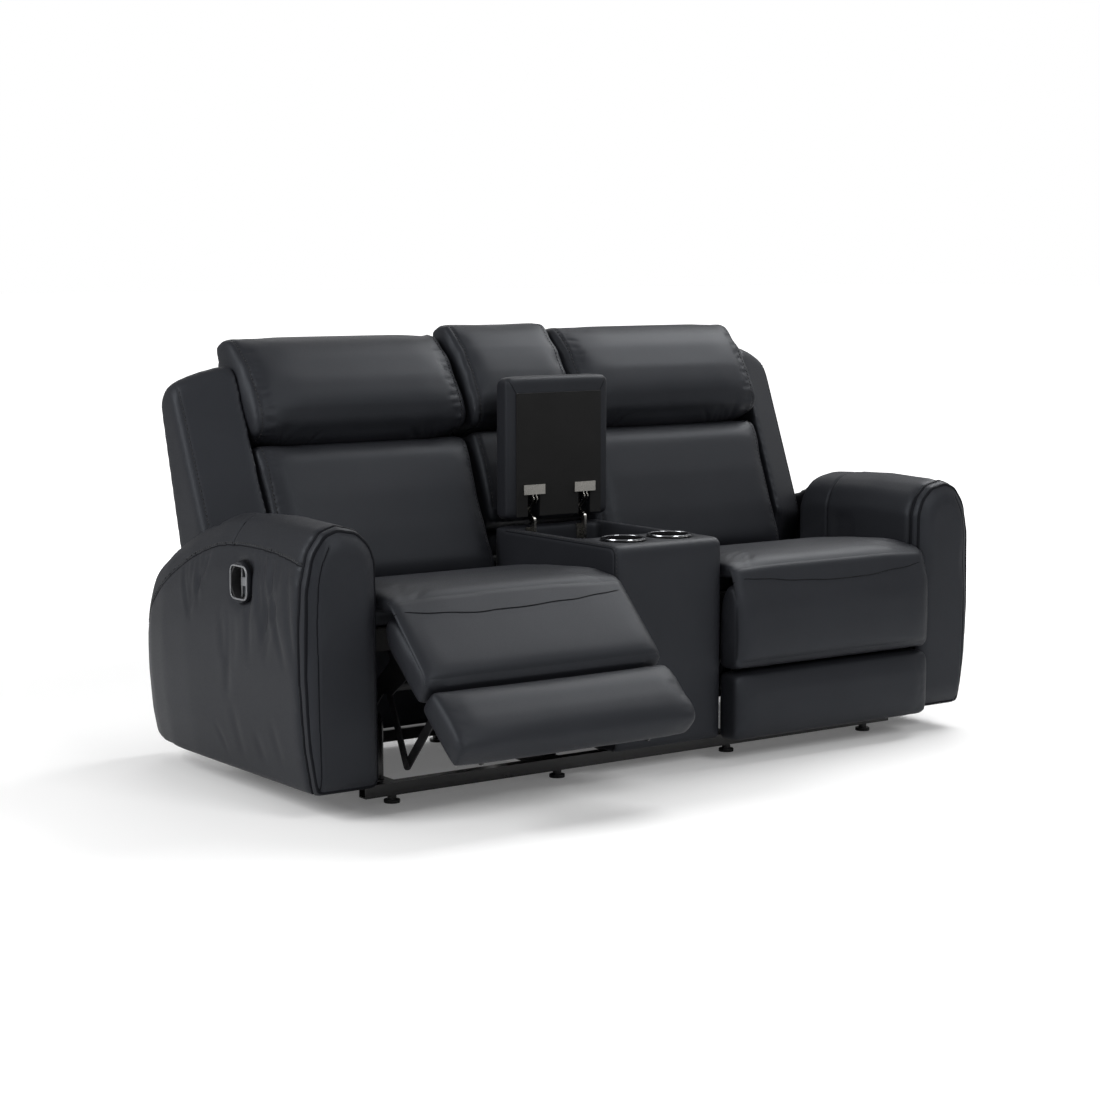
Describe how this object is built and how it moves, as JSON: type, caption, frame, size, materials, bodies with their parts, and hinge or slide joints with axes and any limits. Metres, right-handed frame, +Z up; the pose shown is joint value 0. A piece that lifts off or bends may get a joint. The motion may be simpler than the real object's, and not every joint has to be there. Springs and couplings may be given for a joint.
{
  "type": "sofa",
  "caption": "Two-seat power-free reclining loveseat with padded arms, folding footrests and a central storage console with an upright lid and cup holders.",
  "frame": {"origin": "on the floor under the middle of the piece's box at rest", "axes": "X to the right of someone who faces the front, Y to the rear, Z up"},
  "size_m": [1.919, 1.1643, 1.0069],
  "materials": {
    "leather": "bonded leather upholstery, charcoal, stitched, satin",
    "board": "bare plywood and softwood, sawn",
    "black_steel": "black powder coat, satin",
    "black_plastic": "moulded black plastic, satin",
    "cup_rim": "black pressed cup liner, glossy",
    "nickel": "nickel plated pressed steel, bright",
    "lining": "black woven lining cloth, matt"
  },
  "bodies": {
    "base": {"console_back": "leather", "console_box": "leather", "console_deck": "leather", "console_pillow": "leather", "cup_holder_left": "cup_rim", "cup_holder_right": "cup_rim", "front_rail": "black_steel", "left_arm": "leather", "left_arm_front": "leather", "left_bezel": "black_plastic", "left_inner_base_rail": "black_steel", "left_outer_base_rail": "black_steel", "left_rear_panel": "leather", "lid_hinge_base_left": "nickel", "lid_hinge_base_right": "nickel", "rear_rail": "black_steel", "right_arm": "leather", "right_arm_front": "leather", "right_bezel": "black_plastic", "right_inner_base_rail": "black_steel", "right_outer_base_rail": "black_steel", "right_rear_panel": "leather"},
    "console_lid": {"lid_cushion": "leather", "lid_hinge_arm_left": "nickel", "lid_hinge_arm_right": "nickel", "lid_lining": "lining"},
    "left_seat": {"left_seat_cushion": "leather", "left_seat_frame": "board", "left_side_plate_inner": "black_steel", "left_side_plate_outer": "black_steel"},
    "left_back": {"left_back_cushion": "leather", "left_back_shell": "leather", "left_head_pillow": "leather"},
    "left_footrest": {"left_footrest_frame": "black_steel", "left_footrest_lower_pad": "leather", "left_footrest_upper_pad": "leather"},
    "left_rear_links": {"left_rear_link_inner": "black_steel", "left_rear_link_outer": "black_steel", "left_torque_tube": "black_steel"},
    "left_front_links": {"left_front_link_inner": "black_steel", "left_front_link_outer": "black_steel"},
    "left_release": {"left_release_paddle": "black_plastic"},
    "right_seat": {"right_seat_cushion": "leather", "right_seat_frame": "board", "right_side_plate_inner": "black_steel", "right_side_plate_outer": "black_steel"},
    "right_back": {"right_back_cushion": "leather", "right_back_shell": "leather", "right_head_pillow": "leather"},
    "right_footrest": {"right_footrest_frame": "black_steel", "right_footrest_lower_pad": "leather", "right_footrest_upper_pad": "leather"},
    "right_rear_links": {"right_rear_link_inner": "black_steel", "right_rear_link_outer": "black_steel", "right_torque_tube": "black_steel"},
    "right_front_links": {"right_front_link_inner": "black_steel", "right_front_link_outer": "black_steel"},
    "right_release": {"right_release_paddle": "black_plastic"}
  },
  "joints": [
    {"name": "console_lid_hinge", "type": "hinge", "parent": "base", "child": "console_lid", "pos_m": [0, 0.1863, 0.5655], "axis": [1, 0, 0], "range_deg": [0, 90]},
    {"name": "left_glide", "type": "slide", "parent": "base", "child": "left_seat", "axis": [0, -1, 0], "range_m": [-0.0077, 0.0619]},
    {"name": "left_recline", "type": "hinge", "parent": "left_seat", "child": "left_back", "pos_m": [0, 0.23929, 0.36227], "axis": [-1, 0, 0], "range_deg": [-3, 24]},
    {"name": "left_footrest_hinge", "type": "hinge", "parent": "left_seat", "child": "left_footrest", "pos_m": [0, -0.30395, 0.403], "axis": [-1, 0, 0], "range_deg": [-49, 41]},
    {"name": "left_rear_link_pivot", "type": "hinge", "parent": "left_seat", "child": "left_rear_links", "pos_m": [0, -0.17295, 0.253], "axis": [-1, 0, 0], "range_deg": [-49.5, 41.5]},
    {"name": "left_front_link_pivot", "type": "hinge", "parent": "left_rear_links", "child": "left_front_links", "pos_m": [0, -0.24548, 0.09256], "axis": [-1, 0, 0], "range_deg": [-41.5, 49.5]},
    {"name": "left_release_pivot", "type": "hinge", "parent": "base", "child": "left_release", "pos_m": [-0.9425, 0.0118, 0.482], "axis": [0, 0, 1], "range_deg": [0, 14], "stiffness_Nm_per_rad": 0.6, "springref_deg": -5.73},
    {"name": "right_glide", "type": "slide", "parent": "base", "child": "right_seat", "axis": [0, -1, 0], "range_m": [0, 0.0696]},
    {"name": "right_recline", "type": "hinge", "parent": "right_seat", "child": "right_back", "pos_m": [0, 0.24704, 0.36227], "axis": [-1, 0, 0], "range_deg": [0, 27]},
    {"name": "right_footrest_hinge", "type": "hinge", "parent": "right_seat", "child": "right_footrest", "pos_m": [0, -0.2962, 0.403], "axis": [-1, 0, 0], "range_deg": [0, 90]},
    {"name": "right_rear_link_pivot", "type": "hinge", "parent": "right_seat", "child": "right_rear_links", "pos_m": [0, -0.1652, 0.253], "axis": [-1, 0, 0], "range_deg": [-0.5, 90.5]},
    {"name": "right_front_link_pivot", "type": "hinge", "parent": "right_rear_links", "child": "right_front_links", "pos_m": [0, -0.0917, 0.093], "axis": [-1, 0, 0], "range_deg": [-90.5, 0.5]},
    {"name": "right_release_pivot", "type": "hinge", "parent": "base", "child": "right_release", "pos_m": [0.9425, 0.0118, 0.482], "axis": [0, 0, -1], "range_deg": [0, 14], "stiffness_Nm_per_rad": 0.6, "springref_deg": -5.73}
  ],
  "couplings": [
    {"joint": "left_recline", "follows": "left_glide", "rad_per_m": 6.7568},
    {"joint": "left_rear_link_pivot", "follows": "left_footrest_hinge", "ratio": 1},
    {"joint": "left_front_link_pivot", "follows": "left_footrest_hinge", "ratio": -1},
    {"joint": "right_recline", "follows": "right_glide", "rad_per_m": 6.7568},
    {"joint": "right_rear_link_pivot", "follows": "right_footrest_hinge", "ratio": 1},
    {"joint": "right_front_link_pivot", "follows": "right_footrest_hinge", "ratio": -1}
  ]
}
